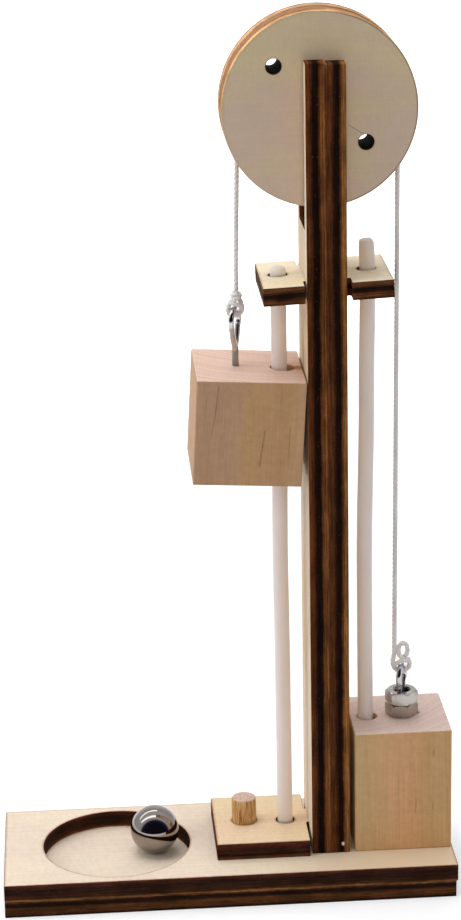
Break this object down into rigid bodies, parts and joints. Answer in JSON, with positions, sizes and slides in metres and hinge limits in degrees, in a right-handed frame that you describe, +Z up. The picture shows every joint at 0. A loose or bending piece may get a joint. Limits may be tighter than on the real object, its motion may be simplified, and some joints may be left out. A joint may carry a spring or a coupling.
{
  "type": "pulley demonstrator",
  "caption": "Wooden classroom pulley demonstrator: a grooved plywood wheel on a mast carries a cord that joins a lift block and a counterweight block on upright guide rods.",
  "frame": {"origin": "middle of the base's underside", "axes": "+Z up, +X along the base from the ball tray towards the counterweight, +Y to the back"},
  "size_m": [0.1094, 0.041, 0.2127],
  "materials": {
    "base_ply": "pale plywood veneer with laser-browned edges",
    "mast_ply": "laser-cut plywood edges, brown plies and a dark core",
    "wheel_ply": "greyish tan plywood with browned rims",
    "bracket_ply": "cream-yellow plywood with dark cut edges",
    "block_wood": "sawn solid wood, satin",
    "dowel_wood": "plain dowel",
    "clear_rod": "milky translucent rod",
    "polished_steel": "polished",
    "plain_steel": "plain drawn wire",
    "zinc_steel": "zinc-plated",
    "cord_fibre": "thin grey-white twisted cord"
  },
  "bodies": {
    "frame": {"base_lower": "base_ply", "base_upper": "base_ply", "mast_left": "mast_ply", "mast_right": "mast_ply", "axle_pin": "plain_steel", "bracket_left": "bracket_ply", "bracket_right": "bracket_ply", "foot_plate": "bracket_ply", "stop_dowel": "dowel_wood", "rod_left": "clear_rod", "rod_right": "clear_rod", "cord_left": "cord_fibre", "cord_over_wheel": "cord_fibre", "cord_right": "cord_fibre"},
    "pulley": {"wheel_front": "wheel_ply", "wheel_core": "wheel_ply", "wheel_back": "wheel_ply"},
    "lift": {"lift_block": "block_wood", "lift_eye": "zinc_steel", "knot_left": "cord_fibre"},
    "counterweight": {"counter_block": "block_wood", "counter_eye": "zinc_steel", "nut_lower": "zinc_steel", "nut_upper": "zinc_steel", "knot_right": "cord_fibre"},
    "ball": {"ball": "polished_steel"}
  },
  "joints": [
    {"name": "counterweight_travel", "type": "slide", "parent": "frame", "child": "counterweight", "axis": [0, 0, 1], "range_m": [0, 0.084], "deforming": ["cord_right"]},
    {"name": "lift_travel", "type": "slide", "parent": "frame", "child": "lift", "axis": [0, 0, 1], "range_m": [-0.084, 0], "deforming": ["cord_left"]},
    {"name": "pulley_turn", "type": "hinge", "parent": "frame", "child": "pulley", "pos_m": [0.0241, 0.0002, 0.1904], "axis": [0, 1, 0], "range_deg": [-262.8, 0]},
    {"name": "ball_roll", "type": "hinge", "parent": "frame", "child": "ball", "pos_m": [-0.02715, 0, 0.0042], "axis": [0, 0, 1], "continuous": true}
  ],
  "couplings": [
    {"joint": "lift_travel", "follows": "counterweight_travel", "ratio": -1},
    {"joint": "pulley_turn", "follows": "counterweight_travel", "rad_per_m": -54.496}
  ]
}
